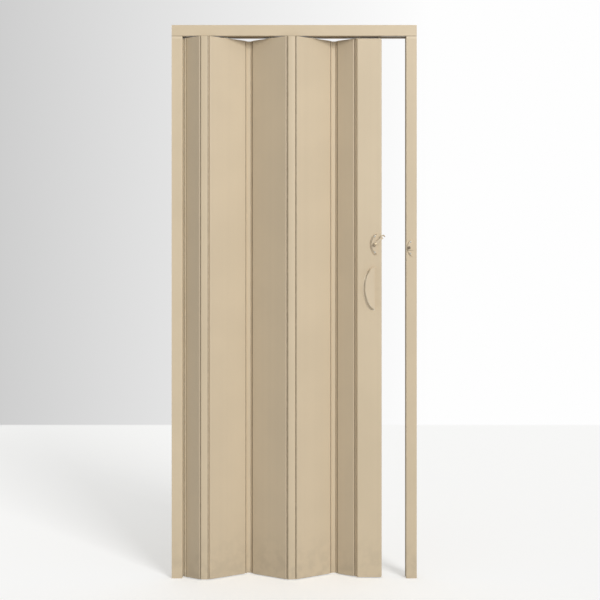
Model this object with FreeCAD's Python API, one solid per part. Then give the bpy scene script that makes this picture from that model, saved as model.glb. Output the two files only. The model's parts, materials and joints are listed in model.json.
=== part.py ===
import FreeCAD, Part
import math
import os

# A folding accordion door: PVC slats linked by snap-in hinge strips hang from rollers in a
# header rail, between two jambs. X runs along the wall, Y through it and Z up.
# The origin is on the floor, in the middle of the doorway and of the wall's thickness.

# Frame
frame_width = 930.0
frame_height = 2100.0
frame_depth = 48.0
header_height = 42.0
jamb_face = 40.0

# Header rail and its two snap-on fascias
rail_width = 36.0
rail_wall = 2.0
rail_slot = 12.0
fascia_wall = 1.8
fascia_barb = 2.0
fascia_edge_radius = 1.2
barb_height_shares = (0.36, 0.64)
fixing_hole_radius = 2.25
header_fixing_count = 4
header_fixing_end = 65.0

# Jambs: a channel screwed to the wall and a cover snapped over it
channel_width = 36.0
channel_wall = 2.0
channel_reach = 30.0
channel_lip = 2.4
cover_wall = 1.8
cover_rib = 2.0
cover_edge_radius = 1.2
jamb_fixing_count = 4
jamb_fixing_end = 150.0

# Hinge knuckles: a bead on the slat turns in a C-shaped socket
bead_radius = 2.2
bead_clearance = 0.25
neck_thickness = 1.6
socket_wall = 1.35
socket_root = 0.5
lip_angle_margin = 3.0
body_clearance = 0.9
strip_spacing = 24.0
strip_cover_width = 26.0
strip_cover_thickness = 1.8
strip_crown = 0.8
strip_root = 0.6
edge_strip_plate = 2.4
edge_strip_width = 16.0
edge_strip_past_pivot = 3.5

# Slats: hollow twin-wall extrusions
slat_thickness = 11.0
slat_wall = 1.2
slat_corner = 3.0
slat_end_wall = 2.5
full_slat_cell_count = 5
half_slat_cell_count = 2
floor_clearance = 3.0
header_clearance = 5.0

# Fold angles of the slats from the line of the wall
half_turn_angle = 180.0
full_turn_angle = 360.0
closed_angle = 9.5
rest_angle = 31.9
stacked_angle = 85.0

# Lead post
lead_width = 92.0
lead_depth = 32.0
lead_wall = 2.0
lead_corner = 3.0
lead_cell_count = 3
lead_top_gap = 8.0
lead_cap = 2.0
lead_cap_plug = 12.0
closing_gap = 3.0
seal_width = 12.0
seal_thickness = 1.2
seal_bead = 2.0

# Hangers and roller carriages
stem_radius = 2.0
stem_clearance = 0.3
stem_head_radius = 3.5
stem_head_thickness = 2.4
plug_depth = 26.0
plug_flange = 1.5
plug_flange_overlap = 1.0
lead_hanger_inset = 9.0
lead_foot_radius = 6.0
lead_foot_thickness = 2.0
lead_shank_radius = 3.0
lead_shank_depth = 10.0
carriage_length = 24.0
carriage_width = 10.0
carriage_lift = 1.2
carriage_floor = 2.0
carriage_crown = 6.0
carriage_end_radius = 3.0
roller_radius = 9.0
roller_width = 5.0
roller_gap = 0.3
roller_side_gap = 0.5
roller_rim = 2.0
roller_hub_radius = 3.5
roller_dish = 1.0
axle_radius = 1.5
axle_clearance = 0.05
axle_head_radius = 2.6
axle_head_thickness = 1.0

# Half-moon pulls, one on each side of the lead post
pull_height = 160.0
pull_width = 38.0
pull_projection = 14.0
pull_wall = 2.2
pull_edge_radius = 5.0
pull_end_radius = 23.0
pull_centre_height = 1102.0
pull_setback = 26.0
pull_bolt_reach = 60.0
pull_bolt_inset = 8.0
bolt_radius = 2.0
bolt_head_radius = 3.6
bolt_head_thickness = 2.2

# Latch lever on the lead post and keeper on the right jamb
latch_above_pull = 45.0
latch_setback = 24.0
latch_plate_width = 24.0
latch_plate_height = 82.0
latch_plate_thickness = 4.0
latch_plate_edge = 1.5
latch_plate_end_radius = 14.0
latch_plate_past_pivot = 5.0
latch_boss_radius = 7.0
latch_boss_height = 8.2
latch_screw_reach = 30.0
latch_screw_inset = 7.0
screw_radius = 1.5
screw_head_radius = 3.0
screw_head_thickness = 1.8
screw_depth = 6.5
pivot_pin_radius = 2.0
pivot_clearance = 0.1
pivot_head_radius = 5.0
pivot_head_thickness = 2.0
lever_gap = 0.3
lever_thickness = 3.5
lever_arm_width = 9.0
lever_hub_radius = 6.5
lever_head_radius = 7.5
lever_reach = 40.0
lever_raised_angle = 44.0
lever_latched_angle = -20.0
thumb_rib = 2.5
thumb_rib_height = 2.5
peg_radius = 2.5
peg_clearance = 0.4
notch_flare = 1.2
peg_length = 6.0
peg_head_radius = 4.0
peg_head_thickness = 1.5
keeper_width = 18.0
keeper_height = 64.0
keeper_thickness = 3.5
keeper_edge = 1.2
keeper_end_radius = 10.5
keeper_edge_to_peg = 6.0
keeper_screw_reach = 22.0
keeper_screw_inset = 7.0

# One overrun serves every cut that has to pass through a surface
overrun = 1.0

# Places worked out from the sizes above
half_width = frame_width / 2
half_depth = frame_depth / 2
header_bottom = frame_height - header_height
header_fixing_spacing = (frame_width - 2 * header_fixing_end) / (header_fixing_count - 1)
jamb_fixing_spacing = (header_bottom - 2 * jamb_fixing_end) / (jamb_fixing_count - 1)
clear_half = half_width - jamb_face
socket_inner = bead_radius + bead_clearance
socket_outer = socket_inner + socket_wall
edge_offset = edge_strip_plate + socket_outer - socket_root
slat_bottom = floor_clearance
slat_top = header_bottom - header_clearance
jamb_pivot_x = edge_offset - clear_half


def radians(degrees):
    return math.pi * degrees / half_turn_angle


# The slats just fill the doorway when the door is drawn closed
fold_count = 4
closed_lead_right = clear_half - closing_gap
closed_pitch = (closed_lead_right - lead_width - edge_offset - jamb_pivot_x) / fold_count
slat_width = (closed_pitch - strip_spacing) / math.cos(radians(closed_angle))
rest_pitch = strip_spacing + slat_width * math.cos(radians(rest_angle))
lead_pivot_x = jamb_pivot_x + fold_count * rest_pitch
lead_left = lead_pivot_x + edge_offset
lead_right = lead_left + lead_width
closing_travel = fold_count * (closed_pitch - rest_pitch)
fold_swing = slat_width / 2 * math.sin(radians(rest_angle))

rail_floor = header_bottom + rail_wall
axle_height = rail_floor + roller_gap + roller_radius
carriage_bottom = rail_floor + carriage_lift
head_seat = carriage_bottom + carriage_floor + stem_clearance
head_top = head_seat + stem_head_thickness
lead_top = header_bottom - lead_top_gap
lead_front = -lead_depth / 2

latch_pivot_x = lead_right - latch_setback
latch_pivot_height = (pull_centre_height + pull_height / 2 + latch_above_pull
                      + latch_plate_height / 2)
lever_back = lead_front - latch_plate_thickness - latch_boss_height - lever_gap
lever_front = lever_back - lever_thickness
peg_x = latch_pivot_x + closing_travel + lever_reach * math.cos(radians(lever_latched_angle))
peg_height = latch_pivot_height + lever_reach * math.sin(radians(lever_latched_angle))


# Small drawing helpers

def at(x, y, z=0.0):
    return FreeCAD.Vector(x, y, z)


def flat(points):
    """A face inside the closed run of straight lines through the points."""
    return Part.Face(Part.makePolygon(points + [points[0]]))


def rectangle(x0, x1, y0, y1):
    return flat([at(x0, y0), at(x1, y0), at(x1, y1), at(x0, y1)])


def rounded_rectangle(x0, x1, y0, y1, radius):
    """A rectangle in the XY plane with all four corners rounded."""
    upright = rectangle(x0, x1, y0, y1).extrude(at(0, 0, radius))
    corners = [e for e in upright.Edges if abs(e.tangentAt(e.FirstParameter).z) > 0.5]
    rounded = upright.makeFillet(radius, corners)
    return min(rounded.Faces, key=lambda f: f.CenterOfMass.z)


def disc(x, y, radius):
    circle = Part.Edge(Part.Circle(at(x, y), at(0, 0, 1), radius))
    return Part.Face(Part.Wire([circle]))


def wedge(x, y, radius, start, end):
    """A pie slice about (x, y), from the start to the end angle in degrees."""
    middle = (start + end) / 2
    reach = radius / math.cos(radians((end - start) / 4))
    rim = [at(x + reach * math.cos(radians(a)), y + reach * math.sin(radians(a)))
           for a in (start, middle, end)]
    return flat([at(x, y)] + rim)


def stand(face, low, high):
    """Extrude a plan outline from one height to another."""
    solid = face.extrude(at(0, 0, high - low))
    solid.translate(at(0, 0, low))
    return solid


def run_along_x(points, x0, x1):
    """Extrude a (Y, Z) section along X."""
    section = flat([at(x0, y, z) for y, z in points])
    return section.extrude(at(x1 - x0, 0, 0))


def cylinder_y(x, z, radius, y0, y1):
    return Part.makeCylinder(radius, y1 - y0, at(x, y0, z), at(0, 1, 0))


def joined(first, *others):
    return first.fuse(list(others)).removeSplitter()


def stand_joined(faces, low, high):
    """Extrude overlapping plan outlines between two heights as one piece."""
    return joined(*[stand(face, low, high) for face in faces])


def one_solid(shape):
    """The only solid of a shape, so that a broken extrusion is noticed."""
    if len(shape.Solids) != 1:
        raise ValueError("expected one solid, got %d" % len(shape.Solids))
    return shape.Solids[0]


def mirrored_x(shape):
    return shape.mirror(at(0, 0, 0), at(1, 0, 0))


def mirrored_y(shape):
    return shape.mirror(at(0, 0, 0), at(0, 1, 0))


# Frame: header rail, fascias and jambs

def header_rail():
    """C-section rail, open below through a slot, with fixing holes along its top."""
    outer = rail_width / 2
    inner = outer - rail_wall
    slot = rail_slot / 2
    top = frame_height
    section = [
        (-outer, top), (-outer, header_bottom), (-slot, header_bottom), (-slot, rail_floor),
        (-inner, rail_floor), (-inner, top - rail_wall), (inner, top - rail_wall),
        (inner, rail_floor), (slot, rail_floor), (slot, header_bottom), (outer, header_bottom),
        (outer, top),
    ]
    rail = run_along_x(section, -half_width, half_width)
    for number in range(header_fixing_count):
        x = header_fixing_end - half_width + number * header_fixing_spacing
        foot = at(x, 0, top - rail_wall - overrun)
        rail = rail.cut(Part.makeCylinder(fixing_hole_radius, rail_wall + 2 * overrun, foot))
    return rail


def header_fascia():
    """Front fascia: a shallow channel whose barbs press against the rail's side."""
    face = -half_depth
    back = face + fascia_wall
    seat = -rail_width / 2
    low = header_bottom
    high = frame_height
    section = [(seat, low), (face, low), (face, high), (seat, high), (seat, high - fascia_wall),
               (back, high - fascia_wall)]
    for share in sorted(barb_height_shares, reverse=True):
        middle = low + share * header_height
        section += [(back, middle + fascia_barb / 2), (seat, middle + fascia_barb / 2),
                    (seat, middle - fascia_barb / 2), (back, middle - fascia_barb / 2)]
    section += [(back, low + fascia_wall), (seat, low + fascia_wall)]
    fascia = run_along_x(section, -half_width, half_width)
    front_corners = [e for e in fascia.Edges if abs(e.tangentAt(e.FirstParameter).x) > 0.5
                     and e.BoundBox.YMax < face + fascia_wall / 2]
    return fascia.makeFillet(fascia_edge_radius, front_corners)


def jamb_channel():
    """Left channel: its web is screwed to the wall and its lips hold the cover."""
    wall = -half_width
    web = wall + channel_wall
    end = wall + channel_reach
    outer = channel_width / 2
    inner = outer - channel_wall
    lip = outer + channel_lip
    outline = [at(wall, -outer), at(end - channel_wall, -outer), at(end - channel_wall, -lip),
               at(end, -lip), at(end, -inner), at(web, -inner), at(web, inner),
               at(end, inner), at(end, lip), at(end - channel_wall, lip),
               at(end - channel_wall, outer), at(wall, outer)]
    channel = stand(flat(outline), 0.0, header_bottom)
    for number in range(jamb_fixing_count):
        z = jamb_fixing_end + number * jamb_fixing_spacing
        foot = at(wall - overrun, 0, z)
        length = channel_wall + 2 * overrun
        channel = channel.cut(Part.makeCylinder(fixing_hole_radius, length, foot, at(1, 0, 0)))
    return channel


def jamb_cover():
    """Left cover: a U whose inner ribs are caught behind the channel's lips."""
    wall = -half_width
    face = -clear_half
    inner = half_depth - cover_wall
    lip_back = wall + channel_reach - channel_wall
    shell = rounded_rectangle(wall - jamb_face, face, -half_depth, half_depth, cover_edge_radius)
    shell = shell.common(rectangle(wall, face, -half_depth, half_depth))
    cover = shell.cut(rectangle(wall - overrun, face - cover_wall, -inner, inner))
    solid = stand(cover.Faces[0], 0.0, header_bottom)
    for side in (-1, 1):
        low = min(side * channel_width / 2, side * inner)
        high = max(side * channel_width / 2, side * inner)
        rib = rectangle(lip_back - cover_rib, lip_back, low, high)
        solid = solid.fuse(stand(rib, 0.0, header_bottom))
    return solid.removeSplitter()


# Hinge knuckles and strips

def opening_angles(toward):
    """The lips of a socket whose neck swings between the closed and the stacked angle.

    toward is +1 for a slat that leaves to the right and -1 for one that leaves to the left;
    the slat leans to the back, so a mirrored copy serves where it leans to the front.
    """
    margin = math.degrees(math.asin(neck_thickness / 2 / socket_inner)) + lip_angle_margin
    start = closed_angle - margin
    end = stacked_angle + margin
    if toward > 0:
        return start, end
    return half_turn_angle - end, half_turn_angle - start


def socket(x, y, toward):
    """Plan of a C-shaped socket that a slat's bead snaps into."""
    start, end = opening_angles(toward)
    ring = disc(x, y, socket_outer).cut(disc(x, y, socket_inner))
    return ring.cut(wedge(x, y, 2 * socket_outer, start, end))


def strip_cover():
    """Crowned cover that joins two sockets along the outside of a fold."""
    half = strip_cover_width / 2
    back = strip_root - socket_outer
    edge = back - strip_cover_thickness + strip_crown
    crown = Part.Arc(at(half, edge), at(0, edge - strip_crown), at(-half, edge)).toShape()
    sides = Part.makePolygon([at(-half, edge), at(-half, back), at(half, back), at(half, edge)])
    return Part.Face(Part.Wire([crown] + sides.Edges))


def hinge_strip():
    """Link for a front fold, drawn about its own middle."""
    left = socket(-strip_spacing / 2, 0.0, -1)
    right = socket(strip_spacing / 2, 0.0, 1)
    return one_solid(stand_joined([strip_cover(), left, right], slat_bottom, slat_top))


def edge_strip(toward):
    """Half link on a flat plate, for the jamb (+1) or the lead post (-1), about its pivot.

    The plate lies mostly on the side away from the slat, which folds close to it.
    """
    back = -toward * edge_offset
    front = back + toward * edge_strip_plate
    plate = rectangle(min(back, front), max(back, front),
                      edge_strip_past_pivot - edge_strip_width, edge_strip_past_pivot)
    return one_solid(stand_joined([plate, socket(0.0, 0.0, toward)], slat_bottom, slat_top))


# Slats

def slat(width, cells):
    """Hollow slat with a bead along each edge, from one pivot at x = 0 to the other."""
    start = socket_outer + body_clearance
    end = width - start
    half = slat_thickness / 2
    body = rounded_rectangle(start, end, -half, half, slat_corner)
    neck = neck_thickness / 2
    outlines = [body, rectangle(0.0, start + slat_end_wall / 2, -neck, neck),
                rectangle(end - slat_end_wall / 2, width, -neck, neck),
                disc(0.0, 0.0, bead_radius), disc(width, 0.0, bead_radius)]
    solid = stand_joined(outlines, slat_bottom, slat_top)
    cell = cell_width(width, cells)
    hollows = []
    for number in range(cells):
        x = start + slat_end_wall + number * (cell + slat_wall)
        hollow = rectangle(x, x + cell, slat_wall - half, half - slat_wall)
        hollows.append(stand(hollow, slat_bottom - overrun, slat_top + overrun))
    return one_solid(solid.cut(hollows))


def cell_width(width, cells):
    start = socket_outer + body_clearance + slat_end_wall
    return (width - 2 * start - slat_wall * (cells - 1)) / cells


def placed(shape, x, y, degrees):
    """A copy turned about the vertical through the origin and then moved."""
    copy = shape.copy()
    copy.rotate(at(0, 0, 0), at(0, 0, 1), degrees)
    copy.translate(at(x, y, 0))
    return copy


# Hangers and carriages

def hanger_stem(x, foot):
    """Round stem with a disc head that the carriage carries."""
    stem = Part.makeCylinder(stem_radius, head_top - foot, at(x, 0, foot))
    head = Part.makeCylinder(stem_head_radius, stem_head_thickness, at(x, 0, head_seat))
    return joined(stem, head)


def slat_hanger():
    """Plug for the slat's middle cell with a flange on its top and the stem, about x = 0."""
    half_x = cell_width(slat_width, full_slat_cell_count) / 2
    half_y = slat_thickness / 2 - slat_wall
    plug = stand(rectangle(-half_x, half_x, -half_y, half_y), slat_top - plug_depth, slat_top)
    flange_x = half_x + plug_flange_overlap
    flange = stand(rounded_rectangle(-flange_x, flange_x, -slat_thickness / 2,
                                     slat_thickness / 2, slat_corner),
                   slat_top, slat_top + plug_flange)
    return joined(plug, flange, hanger_stem(0.0, slat_top))


def lead_hanger(x):
    """Stem with a round foot on the lead post's cap and a shank through it."""
    foot = Part.makeCylinder(lead_foot_radius, lead_foot_thickness, at(x, 0, lead_top))
    shank = Part.makeCylinder(lead_shank_radius, lead_shank_depth + lead_foot_thickness,
                              at(x, 0, lead_top - lead_shank_depth))
    return joined(foot, shank, hanger_stem(x, lead_top))


def carriage():
    """Moulded block with an axle bore and an end-loading T-slot for the stem, about x = 0."""
    half_x = carriage_length / 2
    half_y = carriage_width / 2
    block = stand(rounded_rectangle(-half_x, half_x, -half_y, half_y, carriage_end_radius),
                  carriage_bottom, axle_height + carriage_crown)
    bore = cylinder_y(0.0, axle_height, axle_radius + axle_clearance,
                      -half_y - overrun, half_y + overrun)
    neck = stem_radius + stem_clearance
    pocket = stem_head_radius + stem_clearance
    neck_low = carriage_bottom - overrun
    pocket_low = carriage_bottom + carriage_floor
    pocket_high = head_top + stem_clearance
    reach = half_x + overrun
    cuts = [bore,
            Part.makeCylinder(neck, pocket_high - neck_low, at(0, 0, neck_low)),
            stand(rectangle(0.0, reach, -neck, neck), neck_low, pocket_high),
            Part.makeCylinder(pocket, pocket_high - pocket_low, at(0, 0, pocket_low)),
            stand(rectangle(0.0, reach, -pocket, pocket), pocket_low, pocket_high)]
    return block.cut(cuts).removeSplitter()


def roller(side):
    """One dished roller, turned about the axle; side is -1 for the front one."""
    inner = carriage_width / 2 + roller_side_gap
    outer = inner + roller_width
    rim = roller_radius - roller_rim
    section = [(axle_radius, inner), (roller_radius, inner), (roller_radius, outer),
               (rim, outer), (rim, outer - roller_dish), (roller_hub_radius, outer - roller_dish),
               (roller_hub_radius, outer), (axle_radius, outer)]
    half_plane = flat([at(r, side * y) for r, y in section])
    wheel = half_plane.revolve(at(0, 0, 0), at(0, 1, 0), full_turn_angle)
    wheel.translate(at(0, 0, axle_height))
    return wheel


def roller_pair():
    return Part.makeCompound([roller(-1), roller(1)])


def axle():
    """Steel pin headed over outside both rollers."""
    end = carriage_width / 2 + roller_side_gap + roller_width
    pin = cylinder_y(0.0, axle_height, axle_radius, -end, end)
    heads = [cylinder_y(0.0, axle_height, axle_head_radius, -end - axle_head_thickness, -end),
             cylinder_y(0.0, axle_height, axle_head_radius, end, end + axle_head_thickness)]
    return joined(pin, *heads)


# Lead post

def lead_cell_places():
    """The left and right side of each hollow in the lead post."""
    cell = (lead_width - lead_wall * (lead_cell_count + 1)) / lead_cell_count
    lefts = [lead_left + lead_wall + n * (cell + lead_wall) for n in range(lead_cell_count)]
    return [(left, left + cell) for left in lefts]


def lead_post():
    """Hollow post with the holes that its pull bolts, latch and hangers need."""
    half = lead_depth / 2
    plan = rounded_rectangle(lead_left, lead_right, -half, half, lead_corner)
    for left, right in lead_cell_places():
        plan = plan.cut(rectangle(left, right, lead_wall - half, half - lead_wall))
    post = stand(plan.Faces[0], slat_bottom + lead_cap, lead_top - lead_cap)
    holes = []
    for z in pull_bolt_heights():
        holes.append(cylinder_y(pull_bolt_x(), z, bolt_radius, -half - overrun, half + overrun))
    for z in latch_screw_heights():
        holes.append(cylinder_y(latch_screw_x(), z, screw_radius, -half - overrun, 0.0))
    return one_solid(post.cut(holes))


def lead_cap_piece(low, plug_low, plug_high):
    """End cap: a plate over the post's end with plugs in its outer hollows."""
    half = lead_depth / 2
    plate = stand(rounded_rectangle(lead_left, lead_right, -half, half, lead_corner),
                  low, low + lead_cap)
    places = lead_cell_places()
    plugs = [stand(rectangle(left, right, lead_wall - half, half - lead_wall),
                   plug_low, plug_high) for left, right in (places[0], places[-1])]
    return joined(plate, *plugs)


def lead_top_cap():
    low = lead_top - lead_cap
    cap = lead_cap_piece(low, low - lead_cap_plug, low)
    foot = lead_top - lead_shank_depth
    bores = [Part.makeCylinder(lead_shank_radius, lead_shank_depth + overrun, at(x, 0, foot))
             for x in lead_hanger_places()]
    return cap.cut(bores)


def lead_bottom_cap():
    top = slat_bottom + lead_cap
    return lead_cap_piece(slat_bottom, top, top + lead_cap_plug)


def lead_hanger_places():
    return [lead_left + lead_hanger_inset, lead_right - lead_hanger_inset]


def seal(face, toward, low, high):
    """Flat seal strip with a raised bead down its middle, on a face at x."""
    tip = face + toward * seal_thickness
    low_x, high_x = min(face, tip), max(face, tip)
    strip = rectangle(low_x, high_x, -seal_width / 2, seal_width / 2)
    groove = disc(tip, seal_bead + seal_bead / 2, seal_thickness / 2)
    other = disc(tip, -seal_bead - seal_bead / 2, seal_thickness / 2)
    return one_solid(stand(strip.cut([groove, other]).Faces[0], low, high))


# Half-moon pulls

def half_moon(x, z, width, height, end_radius, y0, y1):
    """A half-moon block, straight at x and bowed towards -X, between two depths.

    A quarter round at each end runs smoothly into the wide bow between them.
    """
    rise = height / 2 - end_radius
    bow = (width ** 2 + rise ** 2 - end_radius ** 2) / (2 * (width - end_radius))
    middle = x - width + bow
    lean = math.atan2(rise, middle - x)
    slant = (math.pi / 2 + lean) / 2
    near = end_radius * math.sin(lean)
    side = end_radius * math.cos(lean)
    start = at(x, y0, z + height / 2)
    end = at(x, y0, z - height / 2)
    top_mid = at(x - end_radius * math.cos(slant), y0, z + rise + end_radius * math.sin(slant))
    low_mid = at(x - end_radius * math.cos(slant), y0, z - rise - end_radius * math.sin(slant))
    top_join = at(x - side, y0, z + rise + near)
    low_join = at(x - side, y0, z - rise - near)
    tip = at(x - width, y0, z)
    edges = [Part.Arc(start, top_mid, top_join).toShape(),
             Part.Arc(top_join, tip, low_join).toShape(),
             Part.Arc(low_join, low_mid, end).toShape(),
             Part.makeLine(end, start)]
    return one_solid(Part.Face(Part.Wire(edges)).extrude(at(0, y1 - y0, 0)))


def rounded_front(block, radius, front, x):
    """Round the curved rim where a half-moon block meets its front face."""
    rim = [e for e in block.Edges
           if abs(e.BoundBox.YMin - front) < bead_clearance
           and abs(e.BoundBox.YMax - front) < bead_clearance
           and e.BoundBox.XMin < x - radius]
    return block.makeFillet(radius, rim)


def pull_mouth():
    return lead_right - pull_setback


def pull_bolt_x():
    return pull_mouth() - pull_bolt_inset


def pull_bolt_heights():
    return [pull_centre_height - pull_bolt_reach, pull_centre_height + pull_bolt_reach]


def pull():
    """Front half-moon pull: a shell on a back plate, open towards the closing edge."""
    mouth = pull_mouth()
    front = lead_front - pull_projection
    shell = half_moon(mouth, pull_centre_height, pull_width, pull_height, pull_end_radius,
                      lead_front, front)
    shell = rounded_front(shell, pull_edge_radius, front, mouth)
    inner_front = front + pull_wall
    inner = half_moon(mouth, pull_centre_height, pull_width - pull_wall,
                      pull_height - 2 * pull_wall, pull_end_radius - pull_wall,
                      lead_front - pull_wall, inner_front)
    inner = rounded_front(inner, pull_edge_radius - pull_wall, inner_front, mouth)
    body = shell.cut(inner)
    bolts = [cylinder_y(pull_bolt_x(), z, bolt_radius, lead_front - 2 * pull_wall, 0.0)
             for z in pull_bolt_heights()]
    return one_solid(body.cut(bolts))


def pull_bolts():
    """Two bolts through both pulls and the post, with a low head at each end."""
    seat = lead_front - pull_wall
    bolts = []
    for z in pull_bolt_heights():
        shank = cylinder_y(pull_bolt_x(), z, bolt_radius, seat, -seat)
        front = cylinder_y(pull_bolt_x(), z, bolt_head_radius, seat - bolt_head_thickness, seat)
        back = cylinder_y(pull_bolt_x(), z, bolt_head_radius, -seat, bolt_head_thickness - seat)
        bolts.append(joined(shank, front, back))
    return Part.makeCompound(bolts)


# Latch and keeper

def latch_screw_x():
    return latch_pivot_x + latch_plate_past_pivot - latch_screw_inset


def latch_screw_heights():
    return [latch_pivot_height - latch_screw_reach, latch_pivot_height + latch_screw_reach]


def latch_base():
    """Half-moon plate with a boss that holds the lever clear of the keeper."""
    edge = latch_pivot_x + latch_plate_past_pivot
    front = lead_front - latch_plate_thickness
    plate = half_moon(edge, latch_pivot_height, latch_plate_width, latch_plate_height,
                      latch_plate_end_radius, lead_front, front)
    plate = rounded_front(plate, latch_plate_edge, front, edge)
    boss = cylinder_y(latch_pivot_x, latch_pivot_height, latch_boss_radius,
                      front - latch_boss_height, front)
    base = joined(plate, boss)
    holes = [cylinder_y(latch_pivot_x, latch_pivot_height, pivot_pin_radius,
                        front - latch_boss_height - overrun, lead_front)]
    for z in latch_screw_heights():
        holes.append(cylinder_y(latch_screw_x(), z, screw_radius, front - overrun,
                                lead_front + overrun))
    return one_solid(base.cut(holes))


def latch_pivot():
    """Headed pin that the lever turns on."""
    head_seat_y = lever_front - lever_gap
    pin = cylinder_y(latch_pivot_x, latch_pivot_height, pivot_pin_radius, head_seat_y, lead_front)
    head = cylinder_y(latch_pivot_x, latch_pivot_height, pivot_head_radius,
                      head_seat_y - pivot_head_thickness, head_seat_y)
    return joined(pin, head.makeChamfer(pivot_head_thickness / 3, [head.Edges[0]]))


def latch_screws():
    """Two pan-head screws through the latch base into the post."""
    seat = lead_front - latch_plate_thickness
    screws = []
    for z in latch_screw_heights():
        shank = cylinder_y(latch_screw_x(), z, screw_radius, seat, seat + screw_depth)
        head = cylinder_y(latch_screw_x(), z, screw_head_radius, seat - screw_head_thickness, seat)
        screws.append(joined(shank, head))
    return Part.makeCompound(screws)


def latch_lever():
    """Hook lever, drawn level about the origin and then raised to its photographed angle."""
    arm = lever_arm_width / 2
    thick = lever_thickness
    flat_arm = Part.makeBox(lever_reach, thick, lever_arm_width, at(0, 0, -arm))
    hub = cylinder_y(0.0, 0.0, lever_hub_radius, 0.0, thick)
    head = cylinder_y(lever_reach, 0.0, lever_head_radius, 0.0, thick)
    rib_low = lever_reach + lever_head_radius - thumb_rib
    rib = Part.makeBox(thumb_rib, thumb_rib_height, lever_arm_width,
                       at(rib_low, -thumb_rib_height, -arm))
    keep = cylinder_y(lever_reach, 0.0, lever_head_radius, -thumb_rib_height, 0.0)
    lever = joined(flat_arm, hub, head, rib.common(keep))
    slot = peg_radius + peg_clearance
    mouth = slot + notch_flare
    depth = lever_head_radius + overrun
    notch = flat([at(lever_reach - slot, -overrun, 0), at(lever_reach - mouth, -overrun, -depth),
                  at(lever_reach + mouth, -overrun, -depth), at(lever_reach + slot, -overrun, 0)])
    notch = notch.extrude(at(0, thick + 2 * overrun, 0))
    round_end = cylinder_y(lever_reach, 0.0, slot, -overrun, thick + overrun)
    bore = cylinder_y(0.0, 0.0, pivot_pin_radius + pivot_clearance, -overrun, thick + overrun)
    lever = one_solid(lever.cut([notch, round_end, bore]))
    lever.rotate(at(0, 0, 0), at(0, 1, 0), -lever_raised_angle)
    lever.translate(at(latch_pivot_x, lever_front, latch_pivot_height))
    return lever


def keeper_screw_x():
    return peg_x - keeper_edge_to_peg + keeper_width - keeper_screw_inset


def keeper_screw_heights():
    return [peg_height - keeper_screw_reach, peg_height + keeper_screw_reach]


def keeper():
    """Half-moon keeper with the headed peg that the lever drops over."""
    edge = peg_x - keeper_edge_to_peg + keeper_width
    front = -half_depth - keeper_thickness
    plate = half_moon(edge, peg_height, keeper_width, keeper_height, keeper_end_radius,
                      -half_depth, front)
    plate = rounded_front(plate, keeper_edge, front, edge)
    peg = cylinder_y(peg_x, peg_height, peg_radius, front - peg_length, front)
    head = cylinder_y(peg_x, peg_height, peg_head_radius,
                      front - peg_length - peg_head_thickness, front - peg_length)
    body = joined(plate, peg, head)
    for z in keeper_screw_heights():
        body = body.cut(cylinder_y(keeper_screw_x(), z, screw_radius, front - overrun,
                                   overrun - half_depth))
        body = body.cut(cylinder_y(keeper_screw_x(), z, screw_head_radius, front - overrun,
                                   front + screw_head_thickness))
    return one_solid(body)


def keeper_screws():
    """Two flush screws through the keeper into the jamb cover."""
    seat = screw_head_thickness - half_depth - keeper_thickness
    screws = []
    for z in keeper_screw_heights():
        shank = cylinder_y(keeper_screw_x(), z, screw_radius, seat, seat + screw_depth)
        head = cylinder_y(keeper_screw_x(), z, screw_head_radius, seat - screw_head_thickness, seat)
        screws.append(joined(shank, head))
    return Part.makeCompound(screws)


def right_jamb_cover():
    """The mirrored cover with the keeper's two screw holes."""
    cover = mirrored_x(jamb_cover())
    holes = [cylinder_y(keeper_screw_x(), z, screw_radius, -half_depth - overrun,
                        overrun + cover_wall - half_depth) for z in keeper_screw_heights()]
    return one_solid(cover.cut(holes))


# The folded curtain, from the jamb to the lead post

def slat_places():
    """Name, left pivot and direction in degrees of each slat, as photographed."""
    places = [("slat_1", jamb_pivot_x, 0.0, -rest_angle)]
    side = -1
    x = jamb_pivot_x + slat_width / 2 * math.cos(radians(rest_angle)) + strip_spacing
    for number in range(2, 2 + fold_count):
        places.append(("slat_%d" % number, x, side * fold_swing, -side * rest_angle))
        x += rest_pitch
        side = -side
    return places


def strip_places():
    """Name, middle and side of each hinge strip; -1 is a front fold."""
    first = jamb_pivot_x + rest_pitch / 2
    return [("hinge_strip_%d" % (n + 1), first + n * rest_pitch, -1 if n % 2 == 0 else 1)
            for n in range(fold_count)]


def curtain(nodes):
    full = slat(slat_width, full_slat_cell_count)
    half = slat(slat_width / 2, half_slat_cell_count)
    for number, (name, x, y, angle) in enumerate(slat_places()):
        shape = half if number in (0, fold_count) else full
        nodes[name] = placed(shape, x, y, angle)
    front_strip = hinge_strip()
    back_strip = mirrored_y(front_strip)
    for name, x, side in strip_places():
        nodes[name] = placed(front_strip if side < 0 else back_strip, x, side * fold_swing, 0.0)
    nodes["jamb_hinge_strip"] = placed(mirrored_y(edge_strip(1)), jamb_pivot_x, 0.0, 0.0)
    nodes["lead_hinge_strip"] = placed(edge_strip(-1), lead_pivot_x, 0.0, 0.0)


def hanging_gear(nodes):
    block = carriage()
    rollers = roller_pair()
    pin = axle()
    plug = slat_hanger()
    places = []
    for number in range(2, 1 + fold_count):
        x = jamb_pivot_x + (number - 1) * rest_pitch
        angle = rest_angle if number % 2 == 0 else -rest_angle
        nodes["slat_hanger_%d" % number] = placed(plug, x, 0.0, angle)
        places.append(("%d" % number, x))
    for name, x in zip(("left", "right"), lead_hanger_places()):
        nodes["lead_hanger_%s" % name] = lead_hanger(x)
        places.append(("lead_%s" % name, x))
    for name, x in places:
        nodes["carriage_%s" % name] = placed(block, x, 0.0, 0.0)
        nodes["rollers_%s" % name] = placed(rollers, x, 0.0, 0.0)
        nodes["axle_%s" % name] = placed(pin, x, 0.0, 0.0)


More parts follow.
